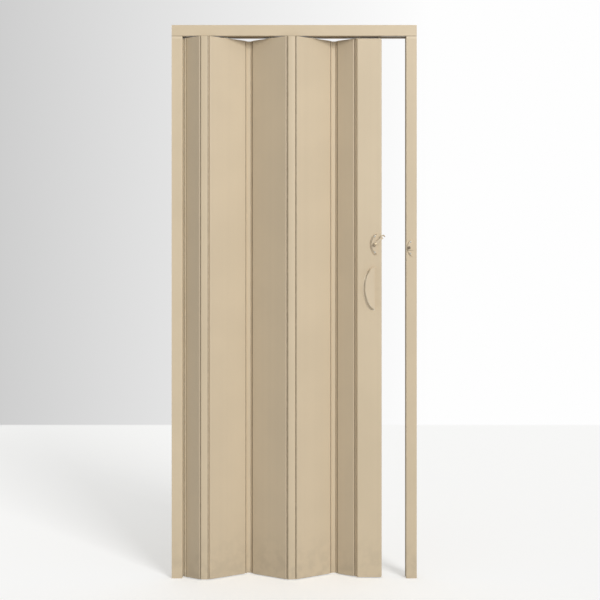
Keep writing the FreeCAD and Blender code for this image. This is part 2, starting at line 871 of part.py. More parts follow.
def frame_parts(nodes):
    nodes["header_rail"] = header_rail()
    nodes["header_fascia_front"] = header_fascia()
    nodes["header_fascia_rear"] = mirrored_y(header_fascia())
    nodes["left_jamb_channel"] = jamb_channel()
    nodes["left_jamb_cover"] = jamb_cover()
    nodes["right_jamb_channel"] = mirrored_x(jamb_channel())
    nodes["right_jamb_cover"] = right_jamb_cover()
    nodes["jamb_seal"] = seal(clear_half, -1, slat_bottom, slat_top)
    nodes["keeper"] = keeper()
    nodes["keeper_screws"] = keeper_screws()


def lead_parts(nodes):
    nodes["lead_post"] = lead_post()
    nodes["lead_top_cap"] = lead_top_cap()
    nodes["lead_bottom_cap"] = lead_bottom_cap()
    nodes["lead_seal"] = seal(lead_right, 1, slat_bottom + lead_cap, lead_top - lead_cap)
    nodes["front_pull"] = pull()
    nodes["rear_pull"] = mirrored_y(pull())
    nodes["pull_bolts"] = pull_bolts()
    nodes["latch_base"] = latch_base()
    nodes["latch_pivot"] = latch_pivot()
    nodes["latch_screws"] = latch_screws()
    nodes["latch_lever"] = latch_lever()


def build():
    nodes = {}
    frame_parts(nodes)
    curtain(nodes)
    hanging_gear(nodes)
    lead_parts(nodes)
    return nodes


os.makedirs("parts", exist_ok=True)
for node_name, node_shape in build().items():
    node_shape.exportStep("parts/%s.step" % node_name)
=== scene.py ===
import bpy
import bmesh
import json
import math
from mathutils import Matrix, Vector


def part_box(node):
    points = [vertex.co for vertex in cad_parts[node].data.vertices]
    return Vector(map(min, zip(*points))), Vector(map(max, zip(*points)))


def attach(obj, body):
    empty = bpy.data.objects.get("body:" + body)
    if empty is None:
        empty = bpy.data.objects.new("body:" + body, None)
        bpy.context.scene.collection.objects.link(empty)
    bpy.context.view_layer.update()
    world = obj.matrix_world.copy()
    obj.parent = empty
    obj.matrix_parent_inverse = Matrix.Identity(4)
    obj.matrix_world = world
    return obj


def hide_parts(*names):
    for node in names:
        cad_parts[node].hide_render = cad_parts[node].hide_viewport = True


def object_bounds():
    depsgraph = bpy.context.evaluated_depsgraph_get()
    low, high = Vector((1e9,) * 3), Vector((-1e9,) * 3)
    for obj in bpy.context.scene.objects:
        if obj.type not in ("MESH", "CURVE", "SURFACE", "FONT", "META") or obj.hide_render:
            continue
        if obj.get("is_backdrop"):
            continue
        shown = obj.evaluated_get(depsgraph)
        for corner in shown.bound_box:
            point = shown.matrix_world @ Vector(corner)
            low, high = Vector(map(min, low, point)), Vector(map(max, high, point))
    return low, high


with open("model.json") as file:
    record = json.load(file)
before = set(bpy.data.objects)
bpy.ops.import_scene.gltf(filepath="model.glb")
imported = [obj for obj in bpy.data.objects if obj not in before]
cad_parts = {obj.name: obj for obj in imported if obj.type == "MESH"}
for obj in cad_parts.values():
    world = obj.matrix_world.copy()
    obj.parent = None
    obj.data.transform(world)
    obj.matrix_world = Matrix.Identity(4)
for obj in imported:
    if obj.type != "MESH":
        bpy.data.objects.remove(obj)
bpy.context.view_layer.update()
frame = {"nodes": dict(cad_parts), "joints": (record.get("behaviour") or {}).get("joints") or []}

# Camera. The picture is taken level and square on, a little above the middle of the door, so that
# its uprights stay parallel. The lens is lowered by a shift that keeps the floor in view.
PICTURE_PX = 600.0
PX_PER_METRE = 263.57
AXIS_PX = 300.0
DOOR_MIDDLE_PX = 294.2
HORIZON_PX = 284.0
DOOR_FOOT_PX = 578.4
CAMERA_DISTANCE = 4.1
SENSOR_MM = 36.0
FARTHEST_SEEN = 100.0

front_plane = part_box("left_jamb_cover")[0].y
camera_height = (DOOR_FOOT_PX - HORIZON_PX) / PX_PER_METRE
camera_data = bpy.data.cameras.new("camera")
camera = bpy.data.objects.new("camera", camera_data)
bpy.context.scene.collection.objects.link(camera)
camera.location = ((AXIS_PX - DOOR_MIDDLE_PX) / PX_PER_METRE, front_plane - CAMERA_DISTANCE,
                   camera_height)
camera.rotation_euler = (math.radians(90.0), 0.0, 0.0)
camera_data.sensor_width = SENSOR_MM
camera_data.lens = SENSOR_MM * CAMERA_DISTANCE * PX_PER_METRE / PICTURE_PX
camera_data.shift_y = (HORIZON_PX - PICTURE_PX / 2) / PICTURE_PX
camera_data.clip_end = FARTHEST_SEEN
bpy.context.scene.camera = camera
bpy.context.scene.view_settings.view_transform = "Standard"


# Header rail: a beige PVC extrusion with a slot along its underside, screwed up into the lintel.
# Its cut ends are left bare, the die leaves faint lines along its whole length, and a band of
# painted shade darkens its lower edge, standing in for the shade under the rail.
HIDDEN_BEIGE = (206, 188, 158)
ALONG_RAIL = (4.0, 700.0, 700.0)
RAIL_SEED = 1.0
SWELL_SHARE = 0.31
FINE_SHARE = 0.6


def from_picture(colour):
    """The linear colour of an sRGB colour given as 0 to 255."""
    shares = [c / 255.0 for c in colour]
    return [c / 12.92 if c < 0.04045 else ((c + 0.055) / 1.055) ** 2.4 for c in shares] + [1.0]


def shade(colour, factor):
    """A linear colour made darker or paler."""
    return [c * factor for c in colour[:3]] + [1.0]


def new_group(name, inputs, outputs):
    """A shader node group; inputs and outputs give each socket's label and kind."""
    tree = bpy.data.node_groups.new(name, "ShaderNodeTree")
    for label, kind in inputs:
        tree.interface.new_socket(label, in_out="INPUT", socket_type="NodeSocket" + kind)
    for label, kind in outputs:
        tree.interface.new_socket(label, in_out="OUTPUT", socket_type="NodeSocket" + kind)
    return tree, tree.nodes.new("NodeGroupInput").outputs, tree.nodes.new("NodeGroupOutput").inputs


def feed(tree, socket, value):
    """Set a socket to a value, or link it where the value is another socket."""
    if isinstance(value, bpy.types.NodeSocket):
        tree.links.new(value, socket)
    else:
        socket.default_value = value


def maths(tree, operation, *values):
    """A sum or comparison of numbers."""
    node = tree.nodes.new("ShaderNodeMath")
    node.operation = operation
    for socket, value in zip(node.inputs, values):
        feed(tree, socket, value)
    return node.outputs[0]


def vector_maths(tree, operation, *values):
    """A sum of vectors; a dot product, length or distance comes out as a number."""
    node = tree.nodes.new("ShaderNodeVectorMath")
    node.operation = operation
    for socket, value in zip(node.inputs, values):
        feed(tree, socket, value)
    return node.outputs["Value" if operation in ("DOT_PRODUCT", "LENGTH", "DISTANCE") else "Vector"]


def parts_of(tree, vector):
    """The X, Y and Z of a vector."""
    node = tree.nodes.new("ShaderNodeSeparateXYZ")
    feed(tree, node.inputs[0], vector)
    return node.outputs


def place_of(tree):
    """The point on the piece where it stands at rest."""
    return tree.nodes.new("ShaderNodeTexCoord").outputs["Object"]


def overlap(tree, mask, *others):
    """Where all of the masks lie: one times the next."""
    for other in others:
        mask = maths(tree, "MULTIPLY", mask, other)
    return mask


def weigh(tree, first, second, share):
    """Two tones or heights as one: a share of the first, and the rest of the second."""
    return maths(tree, "MULTIPLY_ADD", first, share, maths(tree, "MULTIPLY", second, 1.0 - share))


def noise(tree, vector, scale, detail, seed):
    """Seeded noise around 0.5."""
    node = tree.nodes.new("ShaderNodeTexNoise")
    node.noise_dimensions = "4D"
    for label, value in (("Vector", vector), ("Scale", scale), ("Detail", detail), ("W", seed)):
        feed(tree, node.inputs[label], value)
    return node.outputs["Fac"]


def spread(tree, value, span, to=(0.0, 1.0), course="SMOOTHSTEP"):
    """Map a value from one range to another, clamped, smooth or in a straight line."""
    node = tree.nodes.new("ShaderNodeMapRange")
    node.interpolation_type = course
    for label, number in (("Value", value), ("From Min", span[0]), ("From Max", span[1]),
                          ("To Min", to[0]), ("To Max", to[1])):
        feed(tree, node.inputs[label], number)
    return node.outputs["Result"]


def patches(tree, scale, detail, seed, span, to=(0.0, 1.0)):
    """Seeded patches all over the piece, from one strength to another."""
    return spread(tree, noise(tree, place_of(tree), scale, detail, seed), span, to)


def blend_colours(tree, amount, first, second):
    """The first colour where the amount is 0, and the second where it is 1."""
    node = tree.nodes.new("ShaderNodeMix")
    node.data_type = "RGBA"
    feed(tree, node.inputs["Factor"], amount)
    feed(tree, node.inputs[6], first)
    feed(tree, node.inputs[7], second)
    return node.outputs[2]


def draw_lines_group():
    """Faint lines that a die leaves along an extrusion: noise squeezed along one direction."""
    tree, given, made = new_group("draw lines", [("Squeeze", "Vector"), ("Seed", "Float")],
                                  [("Height", "Float"), ("Tone", "Float")])
    squeezed = vector_maths(tree, "MULTIPLY", place_of(tree), given["Squeeze"])
    feed(tree, made["Height"], noise(tree, squeezed, scale=1.0, detail=3.0, seed=given["Seed"]))
    feed(tree, made["Tone"], noise(tree, squeezed, scale=0.09, detail=1.0, seed=given["Seed"]))
    return tree


def skin_grain_group():
    """The fine orange-peel skin of extruded or moulded plastic, with a coarser swell under it."""
    tree, given, made = new_group("skin grain", [("Grains per metre", "Float")],
                                  [("Height", "Float")])
    place = place_of(tree)
    coarse_scale = maths(tree, "MULTIPLY", given["Grains per metre"], SWELL_SHARE)
    fine = noise(tree, place, scale=given["Grains per metre"], detail=2.0, seed=0.0)
    coarse = noise(tree, place, scale=coarse_scale, detail=1.0, seed=4.0)
    feed(tree, made["Height"], weigh(tree, fine, coarse, FINE_SHARE))
    return tree


def slow_drift_group():
    """Slow unevenness of tone and polish over a few hand's breadths."""
    tree, given, made = new_group("slow drift", [("Seed", "Float")], [("Amount", "Float")])
    feed(tree, made["Amount"],
         patches(tree, scale=4.5, detail=2.0, seed=given["Seed"], span=(0.32, 0.68)))
    return tree


def low_darkening_group():
    """A patchy mask that is strongest at the foot of an upright and fades out at a height."""
    tree, given, made = new_group("low darkening", [("Reach", "Float"), ("Seed", "Float")],
                                  [("Mask", "Float")])
    low_down = spread(tree, parts_of(tree, place_of(tree))["Z"], (0.0, given["Reach"]), (1.0, 0.0))
    patchy = patches(tree, scale=26.0, detail=4.0, seed=given["Seed"], span=(0.38, 0.66),
                     to=(0.15, 1.0))
    feed(tree, made["Mask"], overlap(tree, low_down, patchy))
    return tree


def level_band_group():
    """A patchy mask that fades out at a reach above and below a level."""
    tree, given, made = new_group("level band", [("Level", "Float"), ("Reach", "Float")],
                                  [("Mask", "Float")])
    above = maths(tree, "SUBTRACT", parts_of(tree, place_of(tree))["Z"], given["Level"])
    share = maths(tree, "DIVIDE", maths(tree, "ABSOLUTE", above), given["Reach"])
    near = spread(tree, share, span=(0.6, 1.0), to=(1.0, 0.0))
    patchy = patches(tree, scale=40.0, detail=3.0, seed=3.0, span=(0.3, 0.65), to=(0.75, 1.0))
    feed(tree, made["Mask"], overlap(tree, near, patchy))
    return tree


draw_lines = draw_lines_group()
skin_grain = skin_grain_group()
slow_drift = slow_drift_group()
low_darkening = low_darkening_group()
level_band = level_band_group()


def use_group(tree, group, **settings):
    """Place a group in a material; an underscore stands for a space in a socket's label."""
    node = tree.nodes.new("ShaderNodeGroup")
    node.node_tree = group
    for label, value in settings.items():
        feed(tree, node.inputs[label.replace("_", " ")], value)
    return node.outputs


def new_material(name):
    """A material, its node tree and the inputs of its shader."""
    material = bpy.data.materials.new(name)
    material.use_nodes = True
    tree = material.node_tree
    return material, tree, tree.nodes["Principled BSDF"].inputs


def bump(tree, height, depth):
    """A bump normal from a height socket, in metres of relief."""
    node = tree.nodes.new("ShaderNodeBump")
    node.inputs["Strength"].default_value = 1.0
    node.inputs["Distance"].default_value = depth
    feed(tree, node.inputs["Height"], height)
    return node.outputs["Normal"]


def with_marks(tree, clean, marks):
    """Lay marks over a colour: each is a group, its settings, a colour and its strength."""
    for group, settings, colour, strength in marks:
        mask = maths(tree, "MULTIPLY", use_group(tree, group, **settings)["Mask"], strength)
        clean = blend_colours(tree, mask, clean, from_picture(colour))
    return clean


PVC_ROUGHNESS = 0.40
PVC_GRAINS = 2200.0
PVC_RELIEF = 0.00006
PVC_TONES = (0.955, 1.035)
LINES_IN_TONE = 0.55
LINES_IN_RELIEF = 0.7
DRIFT_IN_ROUGHNESS = 0.08
# Darker and duller towards the floor, up to a reach and with a strength.
LOW_DARK = (150, 138, 118)
LOW_DARK_REACH = 0.22
LOW_DARK_STRENGTH = 0.22
LOW_DULLING = 0.18


def pvc(name, colour, squeeze, seed, roughness=PVC_ROUGHNESS, lines=LINES_IN_RELIEF, marks=(),
        tone_share=1.0):
    """Extruded PVC: draw lines, skin grain, slow drift of tone, and a darker, duller stretch near
    the floor.
    """
    material, tree, surface = new_material(name)
    body = shade(from_picture(colour), tone_share)
    along = use_group(tree, draw_lines, Squeeze=squeeze, Seed=seed)
    grain = use_group(tree, skin_grain, Grains_per_metre=PVC_GRAINS)
    drift = use_group(tree, slow_drift, Seed=seed)
    low_mask = use_group(tree, low_darkening, Reach=LOW_DARK_REACH, Seed=seed)
    tone = weigh(tree, along["Tone"], drift["Amount"], LINES_IN_TONE)
    clean = blend_colours(tree, tone, *[shade(body, factor) for factor in PVC_TONES])
    darkened_share = maths(tree, "MULTIPLY", low_mask["Mask"], LOW_DARK_STRENGTH)
    feed(tree, surface["Base Color"],
         blend_colours(tree, darkened_share, with_marks(tree, clean, marks), from_picture(LOW_DARK)))
    dulled = maths(tree, "MULTIPLY_ADD", low_mask["Mask"], LOW_DULLING,
                   roughness - DRIFT_IN_ROUGHNESS / 2)
    feed(tree, surface["Roughness"],
         maths(tree, "MULTIPLY_ADD", drift["Amount"], DRIFT_IN_ROUGHNESS, dulled))
    feed(tree, surface["Normal"],
         bump(tree, weigh(tree, along["Height"], grain["Height"], lines), PVC_RELIEF))
    return material


def finish_with(node, material):
    """Give a piece carried over from the frame its finish."""
    for slot in frame["nodes"][node].material_slots:
        slot.material = material


# Painted shade: a grey band along the rail's lower edge, where its underside falls in shade.
UNDERSIDE_SHADE_GREY = (120, 104, 82)
UNDERSIDE_REACH = 0.005
UNDERSIDE_SHADE_STRENGTH = 0.6

header_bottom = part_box("header_rail")[0].z
underside_shade_mark = (level_band, {"Level": header_bottom, "Reach": UNDERSIDE_REACH}, UNDERSIDE_SHADE_GREY,
                  UNDERSIDE_SHADE_STRENGTH)
finish_with("header_rail", pvc("rail pvc", HIDDEN_BEIGE, ALONG_RAIL, RAIL_SEED,
                               marks=[underside_shade_mark]))


# Header fascias: shallow beige PVC covers that snap on to both sides of the rail and hide it.
# The front one is the band that shows over the doorway, cut square at both ends, and a thin
# line of painted shade lies in the butt joint along its lower edge, where the seam is shaded.
BEIGE = (214, 196, 166)
FASCIA_TONE = 1.03
FASCIA_SEEDS = {"front": 2.0, "rear": 3.0}
# Painted shade: a thin dark line along the header's lower edge, on the fascias and on the tops of
# the jamb covers.
JOINT_SHADE = (140, 122, 96)
JOINT_REACH = 0.0022
JOINT_SHADE_STRENGTH = 0.55

joint_shade_mark = (level_band, {"Level": header_bottom, "Reach": JOINT_REACH}, JOINT_SHADE,
              JOINT_SHADE_STRENGTH)
for side, seed in FASCIA_SEEDS.items():
    finish_with("header_fascia_" + side, pvc("fascia pvc " + side, BEIGE, ALONG_RAIL, seed,
                                             marks=[joint_shade_mark], tone_share=FASCIA_TONE))


# Jambs: a PVC channel screwed to the side of the doorway, and a cover snapped over it from the
# front that hides the screws. Both are extrusions that stand on the floor under the header. The
# covers carry a painted highlight just under the header's painted shade line, where their tops
# catch the light, the left one is painted paler against the shade the folds cast on it, and the
# latch has scraped the right one.
UPRIGHT = (700.0, 700.0, 4.0)
CHANNEL_SEEDS = {"left": 5.0, "right": 6.0}
COVER_SEEDS = {"left": 8.0, "right": 7.0}
# Painted light: the left cover is painted paler than the right, against the shade the folds cast on
# it from the lamp.
COVER_PAINTED_LIGHT_TONES = {"left": 1.06, "right": 0.99}
# Painted highlight: a pale band at the top of each cover, just under the header, where the covers'
# top edges catch light.
TOP_HIGHLIGHT_BEIGE = (236, 220, 192)
TOP_HIGHLIGHT_REACH = 0.0125
TOP_HIGHLIGHT_STRENGTH = 0.5
SCRAPE_DARK = (104, 88, 64)
SCRAPE_HALF = 0.0017
SCRAPE_LENGTH = 0.03
SCRAPE_BELOW_KEEPER = 0.0098
SCRAPE_STRENGTH = 0.6


def scrape_group():
    """A thin level scrape that fades out towards +X from its start."""
    tree, given, made = new_group("scrape", [("Start", "Vector"), ("Half width", "Float"),
                                             ("Length", "Float")], [("Mask", "Float")])
    from_start = parts_of(tree, vector_maths(tree, "SUBTRACT", place_of(tree), given["Start"]))
    up = maths(tree, "DIVIDE", maths(tree, "ABSOLUTE", from_start["Z"]), given["Half width"])
    along = maths(tree, "DIVIDE", from_start["X"], given["Length"])
    begun = spread(tree, along, span=(-0.05, 0.05))
    left = spread(tree, along, span=(0.3, 1.0), to=(1.0, 0.0))
    within = spread(tree, up, span=(0.5, 1.0), to=(1.0, 0.0))
    feed(tree, made["Mask"], overlap(tree, begun, left, within))
    return tree


scrape = scrape_group()
keeper_low, keeper_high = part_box("keeper")
keeper_middle = (keeper_low.z + keeper_high.z) / 2
scraped = Vector((keeper_low.x, 0.0, keeper_middle - SCRAPE_BELOW_KEEPER))
scrape_mark = (scrape, {"Start": scraped, "Half_width": SCRAPE_HALF, "Length": SCRAPE_LENGTH},
               SCRAPE_DARK, SCRAPE_STRENGTH)
top_highlight_mark = (level_band, {"Level": header_bottom, "Reach": TOP_HIGHLIGHT_REACH}, TOP_HIGHLIGHT_BEIGE, TOP_HIGHLIGHT_STRENGTH)
cover_marks = {"left": [top_highlight_mark, joint_shade_mark], "right": [top_highlight_mark, joint_shade_mark, scrape_mark]}
for side in ("left", "right"):
    finish_with(side + "_jamb_channel",
                pvc("channel pvc " + side, HIDDEN_BEIGE, UPRIGHT, CHANNEL_SEEDS[side]))
    finish_with(side + "_jamb_cover",
                pvc("cover pvc " + side, BEIGE, UPRIGHT, COVER_SEEDS[side],
                    marks=cover_marks[side], tone_share=COVER_PAINTED_LIGHT_TONES[side]))


# Hinge strips: softer PVC links whose C-shaped edges snap over the beads of two slats. The half
# links on the jamb and on the lead post are fixed flat; the four others ride between the slats.
# The flanks of the two front ones carry painted shade where their grooves fall in shade, and
# the one on the jamb is painted darker as painted shade behind the jamb cover.
HINGE_STRIPS = ("jamb_hinge_strip", "hinge_strip_1", "hinge_strip_2", "hinge_strip_3",
                "hinge_strip_4", "lead_hinge_strip")
HINGE_SEED = 11.0
HINGE_BEIGE = (216, 198, 168)
# Painted shade: the link on the jamb is a darker beige, standing in for the shade behind the jamb
# cover.
SHADED_HINGE_BEIGE = (193, 181, 158)
HINGE_ROUGHNESS = 0.46
HINGE_LINES = 0.5
# Painted shade: a dark band on the flanks of the two front links and on the slats beside each seam,
# where the grooves fall in shade.
GROOVE_SHADE = (112, 96, 74)
FLANK_SHADE_STRENGTH = 0.5
FLANK_SHADE_STARTS = {"hinge_strip_1": (0.0030, -0.0018), "hinge_strip_3": (-0.0018, 0.0020)}
PAST_PIVOT = 0.01
SEAM_SOFTNESS = 0.0006


def seam_band_group():
    """A patchy upright band between two distances from a pivot, measured along a direction."""
    tree, given, made = new_group("seam band", [("Pivot", "Vector"), ("Along", "Vector"),
                                                ("From", "Float"), ("To", "Float")],
                                  [("Mask", "Float")])
    from_pivot = vector_maths(tree, "SUBTRACT", place_of(tree), given["Pivot"])
    away = vector_maths(tree, "DOT_PRODUCT", from_pivot, given["Along"])
    seam = (-SEAM_SOFTNESS, SEAM_SOFTNESS)
    begun = spread(tree, maths(tree, "SUBTRACT", away, given["From"]), seam)
    left = spread(tree, maths(tree, "SUBTRACT", away, given["To"]), seam, to=(1.0, 0.0))
    patchy = patches(tree, scale=60.0, detail=3.0, seed=7.0, span=(0.3, 0.7), to=(0.7, 1.0))
    feed(tree, made["Mask"], overlap(tree, begun, left, patchy))
    return tree


def joint_place(name):
    """Where a joint's axis lies at rest."""
    return Vector([j["pos_m"] for j in frame["joints"] if j["name"] == name][0])


def band_mark(pivot, along, start, end, colour, strength):
    """A mark for pvc: a seam band beside the pivot, towards along."""
    return (seam_band, {"Pivot": (pivot.x, pivot.y, 0.0), "Along": along, "From": start,
                        "To": end}, colour, strength)


seam_band = seam_band_group()
for number, node in enumerate(HINGE_STRIPS):
    shaded_flanks = [band_mark(joint_place("fold_%d_%s" % (number, side)), (outward, 0.0, 0.0), start,
                        PAST_PIVOT, GROOVE_SHADE, FLANK_SHADE_STRENGTH)
              for side, outward, start in zip(("left", "right"), (-1.0, 1.0),
                                              FLANK_SHADE_STARTS.get(node, ()))]
    finish_with(node, pvc("link pvc " + node,
                          SHADED_HINGE_BEIGE if node == "jamb_hinge_strip" else HINGE_BEIGE,
                          UPRIGHT, HINGE_SEED + number, roughness=HINGE_ROUGHNESS,
                          lines=HINGE_LINES, marks=shaded_flanks))


# Slats: hollow twin-wall PVC boards with a bead along each long edge, cut from one extrusion, the
# two outermost at half width. A band of painted shade reaches a little way on to each from the
# seams, with a line of painted highlight past it, and the first slat has a painted highlight
# beside the jamb, up to a painted shadow line. Their beige is painted a shade darker than the
# frame's, and the first slat darker still, as painted shade.
# Painted shade: the slats' beige is a shade darker than the frame's, so slats turned to the lamp
# read no brighter than the frame, and the first slat is painted darker still; the other tones
# differ a little at random.
SLAT_SHADED_BEIGE = (209, 191, 162)
SLAT_TONES_AND_SHADE = {1: 0.92, 2: 1.0, 3: 1.02, 4: 1.01, 5: 1.0}
SLAT_SEED = 21.0
# Painted shade in a band from each seam, and a painted highlight a little farther on, where the
# slat's rounded end catches the light.
SEAM_SHADE_REACH = 0.0056
SEAM_SHADE_REACH_LEFT = {2: 0.0036, 4: 0.0095}
SEAM_SHADE_STRENGTH = 0.45
SEAM_HIGHLIGHT_BEIGE = (228, 211, 182)
HIGHLIGHT_PAST_SHADE = 0.002
SEAM_HIGHLIGHT_STRENGTH = 0.55
# Painted highlight on the first slat beside the jamb, where the jamb strip's socket catches light,
# up to a painted shadow line.
JAMB_HIGHLIGHT_PALE = (240, 229, 207)
JAMB_HIGHLIGHT_STRENGTH = 0.85
JAMB_SHADOW_LINE = (0.0118, 0.0152)
JAMB_SHADOW_STRENGTH = 0.5

for number, tone in SLAT_TONES_AND_SHADE.items():
    left = joint_place("fold" if number == 1 else "fold_%d_right" % (number - 1))
    right = joint_place("lead_fold" if number == len(SLAT_TONES_AND_SHADE) else "fold_%d_left" % number)
    flat = Vector((right.x - left.x, right.y - left.y, 0.0)).normalized()
    marks = []
    for pivot, along, reach in ((left, flat, SEAM_SHADE_REACH_LEFT.get(number, SEAM_SHADE_REACH)),
                                (right, -flat, SEAM_SHADE_REACH)):
        marks += [band_mark(pivot, along, -PAST_PIVOT, reach + HIGHLIGHT_PAST_SHADE, SEAM_HIGHLIGHT_BEIGE,
                            SEAM_HIGHLIGHT_STRENGTH),
                  band_mark(pivot, along, -PAST_PIVOT, reach, GROOVE_SHADE, SEAM_SHADE_STRENGTH)]
    if number == 1:
        marks += [band_mark(left, flat, -PAST_PIVOT, JAMB_SHADOW_LINE[0], JAMB_HIGHLIGHT_PALE, JAMB_HIGHLIGHT_STRENGTH),
                  band_mark(left, flat, *JAMB_SHADOW_LINE, GROOVE_SHADE, JAMB_SHADOW_STRENGTH)]
    finish_with("slat_%d" % number, pvc("slat pvc %d" % number, SLAT_SHADED_BEIGE, UPRIGHT,
                                        SLAT_SEED + number, marks=marks, tone_share=tone))


# Hangers: a plug in the top of each full slat with a headed stem, and two stems with round feet
# on the lead post. They are zinc-plated steel with a pale, dull skin, and hang in the carriages.
HANGERS = ("slat_hanger_2", "slat_hanger_3", "slat_hanger_4", "lead_hanger_left",
           "lead_hanger_right")
HANGER_SEED = 31.0
HANGER_ROUGHNESS = 0.5
PALE_ZINC = (232, 226, 210)
SCRATCHES_PER_METRE = 2520.0
DULL_PATCHES_PER_METRE = 420.0
DULL_SHADE = 0.72
DULL_IN_ROUGHNESS = 0.2
METAL_RELIEF = 0.00002


def rubbed_zinc_group():
    """Fine rubbing marks on plated steel, and the patches where its plating has gone dull."""
    tree, given, made = new_group("rubbed zinc", [("Seed", "Float")],
                                  [("Height", "Float"), ("Dull", "Float")])
    second_seed = maths(tree, "ADD", given["Seed"], 1.0)
    feed(tree, made["Height"], noise(tree, place_of(tree), scale=SCRATCHES_PER_METRE, detail=3.0,
                                     seed=given["Seed"]))
    feed(tree, made["Dull"], patches(tree, scale=DULL_PATCHES_PER_METRE, detail=2.0,
                                     seed=second_seed, span=(0.35, 0.7)))
    return tree


rubbed_zinc = rubbed_zinc_group()


def plated_steel(name, colour, roughness, seed):
    """Zinc-plated steel, rubbed and dull in patches."""
    material, tree, surface = new_material(name)
    metal = from_picture(colour)
    rubbed = use_group(tree, rubbed_zinc, Seed=seed)
    feed(tree, surface["Base Color"],
         blend_colours(tree, rubbed["Dull"], metal, shade(metal, DULL_SHADE)))
    feed(tree, surface["Roughness"],
         maths(tree, "MULTIPLY_ADD", rubbed["Dull"], DULL_IN_ROUGHNESS, roughness))
    feed(tree, surface["Normal"], bump(tree, rubbed["Height"], METAL_RELIEF))
    surface["Metallic"].default_value = 1.0
    return material


for number, node in enumerate(HANGERS):
    finish_with(node, plated_steel("zinc " + node, PALE_ZINC, HANGER_ROUGHNESS,
                                   HANGER_SEED + number))


# Carriages and rollers: moulded nylon blocks that run in the rail on a pair of dished rollers.
# The axle is a short steel pin headed over outside the rollers, whose treads grey with use.
CARRIAGES = ("2", "3", "4", "lead_left", "lead_right")
ROLLER_SEED = 41.0
BLOCK_SEED = 51.0
AXLE_SEED = 61.0
ROLLER_RADIUS = 0.009
ZINC = (196, 196, 190)
AXLE_ROUGHNESS = 0.3
NYLON = (222, 218, 204)
NYLON_SHADE = 0.93
NYLON_GRAINS = 3000.0
NYLON_RELIEF = 0.00005
NYLON_ROUGHNESS = 0.36
TREAD_GREY = (150, 146, 138)
TREAD_IN_ROUGHNESS = 0.2


def from_line(tree, centre):
    """The step to here from a line along Y through a centre, square to that line."""
    apart = vector_maths(tree, "SUBTRACT", place_of(tree), centre)
    return vector_maths(tree, "MULTIPLY", apart, (1.0, 0.0, 1.0))


def tread_wear_group():
    """Grey rubbing marks near the rim of a roller that turns about an axle along Y."""
    tree, given, made = new_group("tread wear", [("Axle", "Vector"), ("Radius", "Float")],
                                  [("Mask", "Float")])
    out = maths(tree, "DIVIDE", vector_maths(tree, "LENGTH", from_line(tree, given["Axle"])),
                given["Radius"])
    rim = spread(tree, out, span=(0.9, 1.0))
    rubbed = patches(tree, scale=900.0, detail=3.0, seed=2.0, span=(0.35, 0.6), to=(0.35, 1.0))
    feed(tree, made["Mask"], overlap(tree, rim, rubbed))
    return tree


tread_wear = tread_wear_group()


def nylon(name, seed, axle=None):
    """Moulded nylon, with tread wear about an axle where one is given."""
    material, tree, surface = new_material(name)
    body = from_picture(NYLON)
    grain = use_group(tree, skin_grain, Grains_per_metre=NYLON_GRAINS)
    drift = use_group(tree, slow_drift, Seed=seed)
    colour = blend_colours(tree, drift["Amount"], shade(body, NYLON_SHADE), body)
    roughness = maths(tree, "MULTIPLY_ADD", drift["Amount"], DRIFT_IN_ROUGHNESS, NYLON_ROUGHNESS)
    if axle is not None:
        worn = use_group(tree, tread_wear, Axle=axle, Radius=ROLLER_RADIUS)
        colour = blend_colours(tree, worn["Mask"], colour, from_picture(TREAD_GREY))
        roughness = maths(tree, "MULTIPLY_ADD", worn["Mask"], TREAD_IN_ROUGHNESS, roughness)
    feed(tree, surface["Base Color"], colour)
    feed(tree, surface["Roughness"], roughness)
    feed(tree, surface["Normal"], bump(tree, grain["Height"], NYLON_RELIEF))
    return material


for number, name in enumerate(CARRIAGES):
    low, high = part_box("axle_" + name)
    finish_with("rollers_" + name, nylon("nylon roller " + name, ROLLER_SEED + number,
                                         axle=(low + high) / 2))
    finish_with("carriage_" + name, nylon("nylon block " + name, BLOCK_SEED + number))
    finish_with("axle_" + name, plated_steel("steel axle " + name, ZINC, AXLE_ROUGHNESS,
                                             AXLE_SEED + number))


# Lead post: a hollow PVC post that closes against the right jamb, with a cap of the same PVC
# plugged into each end. Hands stain it a little around the pull, and right beside the pull a pale
# band of painted highlight thins the pull's shadow.
POST_SEED = 71.0
HANDLED_BEIGE = (200, 180, 150)
HAND_REACH = 0.17
HAND_STRENGTH = 0.5
# Painted highlight: a pale band on the post just beside the pull's curved edge, against the shadow
# the pull casts.
PULL_HIGHLIGHT = (250, 238, 214)
BESIDE_PULL = (-0.006, 0.0)
BESIDE_STRENGTH = 0.75
PULL_CORNER = 0.023
HIGHLIGHT_TOP = 0.068
TOP_FADE = 0.03
RIM_SOFTNESS = 0.0008


def hand_marks_group():
    """Where hands touch: a patchy stain that fades out at a reach from a point."""
    tree, given, made = new_group("hand marks", [("Touched", "Vector"), ("Reach", "Float")],
                                  [("Mask", "Float")])
    apart = vector_maths(tree, "DISTANCE", place_of(tree), given["Touched"])
    near = spread(tree, apart, span=(0.0, given["Reach"]), to=(1.0, 0.0))
    smears = patches(tree, scale=38.0, detail=4.0, seed=5.0, span=(0.35, 0.7), to=(0.2, 1.0))
    feed(tree, made["Mask"], overlap(tree, near, smears))
    return tree


